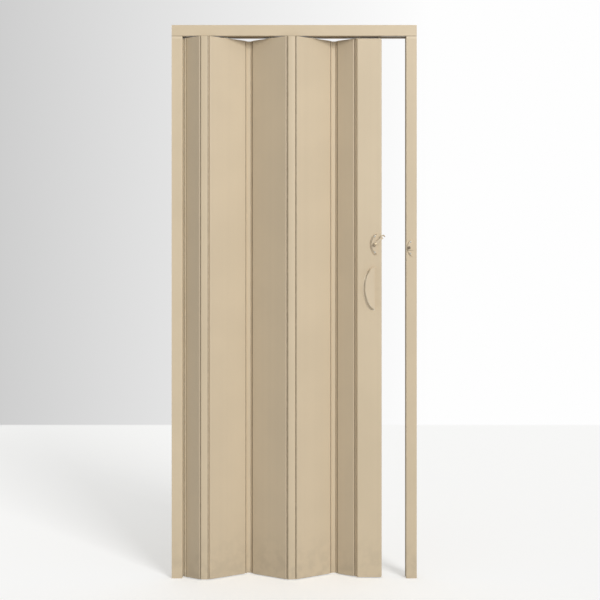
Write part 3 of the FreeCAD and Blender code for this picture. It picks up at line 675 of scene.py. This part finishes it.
def moon_rim_group():
    """A band beside the curved edge of a half-moon plate that lies square to Y.

    The edge is one wide bow about Centre, and turns at Corner into a rounder end. Corner is
    measured from Centre, and From and To are how far inside the edge the band lies. It fades out
    just below the height Top over Centre.
    """
    tree, given, made = new_group("moon rim", [("Centre", "Vector"), ("Radius", "Float"),
                                               ("Corner", "Vector"), ("Corner radius", "Float"),
                                               ("From", "Float"), ("To", "Float"),
                                               ("Top", "Float")], [("Mask", "Float")])
    flat = from_line(tree, given["Centre"])
    folded = vector_maths(tree, "ABSOLUTE", flat)
    past = vector_maths(tree, "SUBTRACT", folded, given["Corner"])
    side, parts, corner = [parts_of(tree, vector) for vector in (flat, folded, given["Corner"])]
    bowed_side = maths(tree, "LESS_THAN", maths(tree, "ADD", side["X"], corner["X"]), 0.0)
    turned = maths(tree, "GREATER_THAN", maths(tree, "MULTIPLY", parts["Z"], corner["X"]),
                   maths(tree, "MULTIPLY", parts["X"], corner["Z"]))
    in_bow, in_corner = [maths(tree, "SUBTRACT", radius, vector_maths(tree, "LENGTH", reach))
                         for radius, reach in ((given["Radius"], folded),
                                               (given["Corner radius"], past))]
    gained = maths(tree, "MULTIPLY", turned, maths(tree, "SUBTRACT", in_corner, in_bow))
    inside = maths(tree, "ADD", in_bow, gained)
    edge = (-RIM_SOFTNESS, RIM_SOFTNESS)
    after = spread(tree, maths(tree, "SUBTRACT", inside, given["From"]), edge)
    before = spread(tree, maths(tree, "SUBTRACT", inside, given["To"]), edge, to=(1.0, 0.0))
    under_top = spread(tree, maths(tree, "SUBTRACT", given["Top"], side["Z"]), (0.0, TOP_FADE))
    patchy = patches(tree, scale=90.0, detail=3.0, seed=9.0, span=(0.3, 0.65), to=(0.7, 1.0))
    feed(tree, made["Mask"], overlap(tree, after, before, bowed_side, under_top, patchy))
    return tree


def rim_of(node, corner_radius, band, top):
    """The moon rim group's settings for a half-moon node."""
    low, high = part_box(node)
    span = high.x - low.x
    rise = (high.z - low.z) / 2 - corner_radius
    bow = (span ** 2 + rise ** 2 - corner_radius ** 2) / (2 * (span - corner_radius))
    return {"Centre": (low.x + bow, 0.0, (low.z + high.z) / 2), "Radius": bow,
            "Corner": (bow - span, 0.0, rise), "Corner_radius": corner_radius,
            "From": band[0], "To": band[1], "Top": top}


hand_marks = hand_marks_group()
moon_rim = moon_rim_group()
pull_low, pull_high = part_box("front_pull")
touched = (pull_high.x, pull_low.y, (pull_low.z + pull_high.z) / 2)
post_marks = [(hand_marks, {"Touched": touched, "Reach": HAND_REACH}, HANDLED_BEIGE,
               HAND_STRENGTH),
              (moon_rim, rim_of("front_pull", PULL_CORNER, BESIDE_PULL, HIGHLIGHT_TOP), PULL_HIGHLIGHT,
               BESIDE_STRENGTH)]
for node in ("lead_post", "lead_top_cap", "lead_bottom_cap"):
    finish_with(node, pvc("post pvc " + node, BEIGE, UPRIGHT, POST_SEED, marks=post_marks))


# Seals: soft PVC strips with two shallow grooves, pushed on to the closing edge and the jamb.
# They are a shade browner than the hard PVC.
SEAL_SEED = 75.0
SEAL_BROWN = (186, 168, 138)
SEAL_ROUGHNESS = 0.6
SEAL_LINES = 0.3

for node in ("lead_seal", "jamb_seal"):
    finish_with(node, pvc("seal " + node, SEAL_BROWN, UPRIGHT, SEAL_SEED,
                          roughness=SEAL_ROUGHNESS, lines=SEAL_LINES))


# Pulls, latch and keeper: moulded plastic pieces in the colour of the door, a little glossier
# than the extrusions, each on a half-moon plate. The pulls' rims carry a painted highlight where
# their sides fall in shade, painted shade lies along the latch plate's rim and round the latch's
# pivot, and a dark spot lies round the keeper's peg.
PULL_SEEDS = {"front_pull": 81.0, "rear_pull": 82.0}
LATCH_BASE_SEED = 83.0
LATCH_LEVER_SEED = 84.0
KEEPER_SEED = 85.0
MOULDED_BEIGE = (216, 198, 169)
MOULDED_TONES = (0.96, 1.02)
MOULDED_GRAINS = 1500.0
MOULDED_RELIEF = 0.00008
MOULDED_ROUGHNESS = 0.3
DRIFT_IN_GLOSS = 0.1
# Painted highlight on the pulls' rims, whose sides face away from the lamp.
PULL_HIGHLIGHT_BAND = (-0.001, 0.0034)
PULL_HIGHLIGHT_STRENGTH = 0.9
# Painted shade: a dark band just inside the latch plate's curved edge, and a dark spot round its
# pivot.
RIM_SHADE = (112, 96, 72)
RIM_SHADE_STRENGTH = 0.6
SHADED_BAND = (0.0014, 0.0056)
LATCH_PLATE_CORNER = 0.014
LATCH_DARK_REACH = 0.0085
PEG_DARK = (84, 70, 52)
PEG_DARK_STRENGTH = 0.85
PEG_REACH = 0.0075
KEEPER_EDGE_TO_PEG = 0.006


def round_spot_group():
    """A dark spot round a line along Y, round a pin or a peg; round the latch's pivot it is painted
    shade.
    """
    tree, given, made = new_group("round spot", [("Centre", "Vector"), ("Reach", "Float")],
                                  [("Mask", "Float")])
    out = vector_maths(tree, "LENGTH", from_line(tree, given["Centre"]))
    share = maths(tree, "DIVIDE", out, given["Reach"])
    feed(tree, made["Mask"], spread(tree, share, span=(0.5, 1.0), to=(1.0, 0.0)))
    return tree


round_spot = round_spot_group()


def moulded(name, seed, marks=()):
    """Moulded plastic with a fine grain, slow drift of tone, and marks as pvc takes them."""
    material, tree, surface = new_material(name)
    body = from_picture(MOULDED_BEIGE)
    grain = use_group(tree, skin_grain, Grains_per_metre=MOULDED_GRAINS)
    drift = use_group(tree, slow_drift, Seed=seed)
    clean = blend_colours(tree, drift["Amount"], *[shade(body, factor) for factor in MOULDED_TONES])
    feed(tree, surface["Base Color"], with_marks(tree, clean, marks))
    feed(tree, surface["Roughness"],
         maths(tree, "MULTIPLY_ADD", drift["Amount"], DRIFT_IN_GLOSS, MOULDED_ROUGHNESS))
    feed(tree, surface["Normal"], bump(tree, grain["Height"], MOULDED_RELIEF))
    return material


for node, seed in PULL_SEEDS.items():
    rim = rim_of(node, PULL_CORNER, PULL_HIGHLIGHT_BAND, HIGHLIGHT_TOP)
    finish_with(node, moulded("moulded " + node, seed,
                              marks=[(moon_rim, rim, PULL_HIGHLIGHT, PULL_HIGHLIGHT_STRENGTH)]))

pivot_low, pivot_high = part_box("latch_pivot")
pivot_spot = {"Centre": (pivot_low + pivot_high) / 2, "Reach": LATCH_DARK_REACH}
latch_rim = rim_of("latch_base", LATCH_PLATE_CORNER, SHADED_BAND, pivot_high.z)
finish_with("latch_base", moulded("moulded latch base", LATCH_BASE_SEED,
                                  marks=[(moon_rim, latch_rim, RIM_SHADE, RIM_SHADE_STRENGTH),
                                         (round_spot, pivot_spot, RIM_SHADE, RIM_SHADE_STRENGTH)]))
finish_with("latch_lever", moulded("moulded latch lever", LATCH_LEVER_SEED))

peg_spot = {"Centre": (keeper_low.x + KEEPER_EDGE_TO_PEG, 0.0, keeper_middle), "Reach": PEG_REACH}
finish_with("keeper", moulded("moulded keeper", KEEPER_SEED,
                              marks=[(round_spot, peg_spot, PEG_DARK, PEG_DARK_STRENGTH),
                                     scrape_mark]))


# Screws, bolts and the latch's pivot: zinc-plated steel, turned with low domed heads. The screws
# and bolts have a crossed recess, and the pivot pin a plain slot for a flat driver.
SCREW_SEEDS = {"keeper_screws": 91.0, "latch_screws": 92.0}
BOLT_SEED = 93.0
PIVOT_SEED = 94.0
ROUND_STEPS = 40
DOME_STEPS = 6
SHOULDER_SHARE = 0.35
SHARP_DEGREES = 35.0
RECESS_WIDTH = 0.0010
RECESS_DEPTH_SHARE = 0.62
CROSS_SPAN_SHARE = 1.25
SHALLOWER_BAR_SHARE = 0.98
SLOT_SPAN_SHARE = 2.4
SCREW_HEAD = 0.0018
SCREW_SHANK = 0.0015
SCREW_POINT = 0.0022
BOLT_HEAD = 0.0022
BOLT_SHANK = 0.0020
PIVOT_HEAD = 0.0020
PIVOT_PIN = 0.0020
TURNED_ROUGHNESS = 0.28
AGED_ZINC = (196, 180, 152)
AGED_ROUGHNESS = 0.44


def domed_head(radius, seat, front):
    """The (radius, depth) rows of a low domed head, from its seat out to its middle."""
    shoulder = seat + (front - seat) * SHOULDER_SHARE
    turns = [math.pi / 2 * step / DOME_STEPS for step in range(DOME_STEPS)]
    dome = [(radius * math.cos(turn) ** 0.5, shoulder + (front - shoulder) * math.sin(turn))
            for turn in turns]
    return [(radius, seat)] + dome + [(0.0, front)]


def ring(mesh, radius, x, y, z):
    """A ring of points about the line along Y at x and z, or one point where radius is zero."""
    if radius == 0.0:
        return [mesh.verts.new((x, y, z))]
    turns = [2 * math.pi * n / ROUND_STEPS for n in range(ROUND_STEPS)]
    return [mesh.verts.new((x + radius * math.cos(turn), y, z + radius * math.sin(turn)))
            for turn in turns]


def turn_about_y(mesh, rows, x, z):
    """Add the solid that the (radius, depth) rows make when they turn about a line along Y."""
    rings = [ring(mesh, radius, x, y, z) for radius, y in rows]
    for first, second in zip(rings, rings[1:]):
        for n in range(ROUND_STEPS):
            after = (n + 1) % ROUND_STEPS
            corners = [first[n % len(first)], first[after % len(first)],
                       second[after % len(second)], second[n % len(second)]]
            mesh.faces.new([v for k, v in enumerate(corners) if v not in corners[:k]])


def piece_from(mesh, name):
    """A new object from a bmesh."""
    bmesh.ops.recalc_face_normals(mesh, faces=mesh.faces)
    data = bpy.data.meshes.new(name)
    mesh.to_mesh(data)
    mesh.free()
    piece = bpy.data.objects.new(name, data)
    bpy.context.scene.collection.objects.link(piece)
    return piece


def cut_away(piece, cutter):
    """Cut one object out of another, and remove the cutter."""
    cut = piece.modifiers.new("recess", "BOOLEAN")
    cut.operation = "DIFFERENCE"
    cut.solver = "EXACT"
    cut.use_self = True
    cut.object = cutter
    shown = piece.evaluated_get(bpy.context.evaluated_depsgraph_get())
    data = bpy.data.meshes.new_from_object(shown)
    piece.modifiers.clear()
    piece.data = data
    bpy.data.objects.remove(cutter)


def turned_steel(node, body, places, rows, bars, seed, tone=ZINC, roughness=TURNED_ROUGHNESS):
    """Replace a node's fasteners: places are (x, z), bars are (depth along Y, size of a cut)."""
    solids = bmesh.new()
    cuts = bmesh.new()
    for x, z in places:
        turn_about_y(solids, rows, x, z)
        for y, size in bars:
            bar = bmesh.ops.create_cube(cuts, size=1.0)
            bmesh.ops.scale(cuts, vec=size, verts=bar["verts"])
            bmesh.ops.translate(cuts, vec=(x, y, z), verts=bar["verts"])
    piece = piece_from(solids, node + "_turned")
    cut_away(piece, piece_from(cuts, node + "_cuts"))
    piece.data.materials.clear()
    piece.data.materials.append(plated_steel("steel " + node, tone, roughness, seed))
    piece.data.shade_smooth()
    piece.data.set_sharp_from_angle(angle=math.radians(SHARP_DEGREES))
    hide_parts(node)
    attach(piece, body)


def crossed(front, seat, radius):
    """The two bars of a crossed recess, one a little shallower so that their floors don't meet."""
    depth = 2 * abs(front - seat) * RECESS_DEPTH_SHARE
    span = radius * CROSS_SPAN_SHARE
    return [(front, (span, depth, RECESS_WIDTH)),
            (front, (RECESS_WIDTH, SHALLOWER_BAR_SHARE * depth, span))]


for node, body in (("keeper_screws", "frame"), ("latch_screws", "lead_post")):
    low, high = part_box(node)
    radius = (high.x - low.x) / 2
    seat = low.y + SCREW_HEAD
    shank = [(0.0, high.y), (SCREW_SHANK, high.y - SCREW_POINT), (SCREW_SHANK, seat)]
    x = (low.x + high.x) / 2
    turned_steel(node, body, [(x, low.z + radius), (x, high.z - radius)],
                 shank + domed_head(radius, seat, low.y), crossed(low.y, seat, radius),
                 SCREW_SEEDS[node])

low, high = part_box("pull_bolts")
radius = (high.x - low.x) / 2
seat = low.y + BOLT_HEAD
x = (low.x + high.x) / 2
front_head = domed_head(radius, seat, low.y)
rear_head = domed_head(radius, -seat, -low.y)
turned_steel("pull_bolts", "lead_post", [(x, low.z + radius), (x, high.z - radius)],
             rear_head[::-1] + [(BOLT_SHANK, -seat), (BOLT_SHANK, seat)] + front_head,
             crossed(low.y, seat, radius) + crossed(-low.y, -seat, radius), BOLT_SEED)

radius = (pivot_high.x - pivot_low.x) / 2
seat = pivot_low.y + PIVOT_HEAD
pin = [(0.0, pivot_high.y), (PIVOT_PIN, pivot_high.y), (PIVOT_PIN, seat)]
slot_size = (radius * SLOT_SPAN_SHARE, 2 * PIVOT_HEAD * RECESS_DEPTH_SHARE, RECESS_WIDTH)
turned_steel("latch_pivot", "lead_post",
             [((pivot_low.x + pivot_high.x) / 2, (pivot_low.z + pivot_high.z) / 2)],
             pin + domed_head(radius, seat, pivot_low.y), [(pivot_low.y, slot_size)], PIVOT_SEED,
             tone=AGED_ZINC, roughness=AGED_ROUGHNESS)


# Floor: a wide pale sheet that carries the door's soft shadow. It glows by as much as the lights
# leave it short of its shown tone, so that it looks even, and past the line where the picture's
# backdrop begins it takes the backdrop's tone.
KEY_PLACE = Vector((6.6, -12.4, 6.2))
KEY_TARGET = Vector((0.0, 0.0, 1.2))
KEY_WATTS = 1340.0
AMBIENT_ON_FLOOR = 0.47
FLOOR_SHOWN = (246, 246, 245)
FLOOR_WHITENESS = 0.95
FLOOR_BOUNCE = 0.5
FLOOR_ROUGHNESS = 0.9
FLOOR_REACH = 40.0
BACKDROP_LEFT = (206, 206, 206)
BACKDROP_RIGHT = (254, 254, 254)
BACKDROP_LINE_PX = 425.0
BACKDROP_SPAN_PX = (-3.0, 430.0)
BACKDROP_EDGE = 0.06
WHITE = (1.0, 1.0, 1.0, 1.0)
BLACK = (0.0, 0.0, 0.0, 1.0)

lens_px = CAMERA_DISTANCE * PX_PER_METRE
backdrop_y = camera.location.y + lens_px * camera_height / (BACKDROP_LINE_PX - HORIZON_PX)


def backdrop_group():
    """The backdrop's tone; Across is the sideways step for each metre into the picture."""
    tree, given, made = new_group("backdrop", [("Across", "Float")], [("Tone", "Color")])
    ends = [(px - AXIS_PX) / lens_px for px in BACKDROP_SPAN_PX]
    share = spread(tree, given["Across"], ends, course="LINEAR")
    feed(tree, made["Tone"],
         blend_colours(tree, share, from_picture(BACKDROP_LEFT), from_picture(BACKDROP_RIGHT)))
    return tree


def shown_directly(tree):
    """1 for rays of the camera, and those that mirror or pass to it, and 0 for light."""
    path = tree.nodes.new("ShaderNodeLightPath")
    seen = maths(tree, "MAXIMUM", path.outputs["Is Camera Ray"], path.outputs["Is Glossy Ray"])
    return maths(tree, "MAXIMUM", seen, path.outputs["Is Transmission Ray"])


def light_from_key(tree, place):
    """The key light that a level white surface sends back at a place, as from a small lamp.

    It falls with the square of the distance, and with the slant of the rays at the lamp and at
    the surface. Each slant is a length over the distance, which makes the fourth power.
    """
    from_key = vector_maths(tree, "SUBTRACT", place, KEY_PLACE)
    aim = (KEY_TARGET - KEY_PLACE).normalized()
    ahead = maths(tree, "MAXIMUM", vector_maths(tree, "DOT_PRODUCT", from_key, aim), 0.0)
    apart = vector_maths(tree, "LENGTH", from_key)
    strength = KEY_WATTS * KEY_PLACE.z / math.pi ** 2
    return maths(tree, "DIVIDE", maths(tree, "MULTIPLY", ahead, strength),
                 maths(tree, "POWER", apart, 4.0))


backdrop = backdrop_group()
floor_mesh = bpy.data.meshes.new("floor")
floor_mesh.from_pydata([(-FLOOR_REACH, -FLOOR_REACH, 0), (FLOOR_REACH, -FLOOR_REACH, 0),
                        (FLOOR_REACH, FLOOR_REACH, 0), (-FLOOR_REACH, FLOOR_REACH, 0)],
                       [], [(0, 1, 2, 3)])
floor = bpy.data.objects.new("floor", floor_mesh)
bpy.context.scene.collection.objects.link(floor)
floor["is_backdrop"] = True
floor_material, ground, floor_surface = new_material("floor")
spot = place_of(ground)
spot_parts = parts_of(ground, spot)
beyond = spread(ground, spot_parts["Y"], (backdrop_y - BACKDROP_EDGE, backdrop_y + BACKDROP_EDGE))
light = maths(ground, "ADD", light_from_key(ground, spot), AMBIENT_ON_FLOOR)
sent_back = maths(ground, "MULTIPLY", light, FLOOR_WHITENESS)
lacking = vector_maths(ground, "SUBTRACT", from_picture(FLOOR_SHOWN)[:3], sent_back)
glow = vector_maths(ground, "MAXIMUM", lacking, BLACK[:3])
seen_floor = shown_directly(ground)
whiteness = blend_colours(ground, seen_floor, shade(WHITE, FLOOR_BOUNCE),
                          shade(WHITE, FLOOR_WHITENESS))
feed(ground, floor_surface["Base Color"], blend_colours(ground, beyond, whiteness, BLACK))
aside = maths(ground, "SUBTRACT", spot_parts["X"], camera.location.x)
away = maths(ground, "SUBTRACT", spot_parts["Y"], camera.location.y)
across_floor = maths(ground, "DIVIDE", aside, away)
feed(ground, floor_surface["Emission Color"],
     blend_colours(ground, beyond, glow, use_group(ground, backdrop, Across=across_floor)["Tone"]))
feed(ground, floor_surface["Emission Strength"], seen_floor)
floor_surface["Roughness"].default_value = FLOOR_ROUGHNESS
floor_surface["Specular IOR Level"].default_value = 0.0
floor_mesh.materials.append(floor_material)


# Studio: one large square lamp high in front and to the right, and a plain white room that lights
# evenly all round, a little more from behind. Where the room is seen it has the backdrop's tone.
KEY_SIZE = 5.0
AMBIENT = 0.42
REAR_AMBIENT = 0.78
REAR_SPAN = (0.2, 0.9)
LEAST_AHEAD = 0.1

world = bpy.data.worlds.new("studio")
bpy.context.scene.world = world
world.use_nodes = True
sky = world.node_tree
background = sky.nodes["Background"].inputs
direction = parts_of(sky, sky.nodes.new("ShaderNodeTexCoord").outputs["Generated"])
across_sky = maths(sky, "DIVIDE", direction["X"],
                   maths(sky, "MAXIMUM", direction["Y"], LEAST_AHEAD))
seen_sky = shown_directly(sky)
feed(sky, background["Color"],
     blend_colours(sky, seen_sky, WHITE, use_group(sky, backdrop, Across=across_sky)["Tone"]))
ambient = spread(sky, direction["Y"], REAR_SPAN, to=(AMBIENT, REAR_AMBIENT))
feed(sky, background["Strength"], maths(sky, "MAXIMUM", seen_sky, ambient))

key_data = bpy.data.lights.new("key", "AREA")
key_data.shape = "SQUARE"
key_data.size = KEY_SIZE
key_data.energy = KEY_WATTS
key = bpy.data.objects.new("key", key_data)
bpy.context.scene.collection.objects.link(key)
key.location = KEY_PLACE
key.rotation_mode = "QUATERNION"
key.rotation_quaternion = (KEY_TARGET - KEY_PLACE).to_track_quat("-Z", "Y")

low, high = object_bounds()
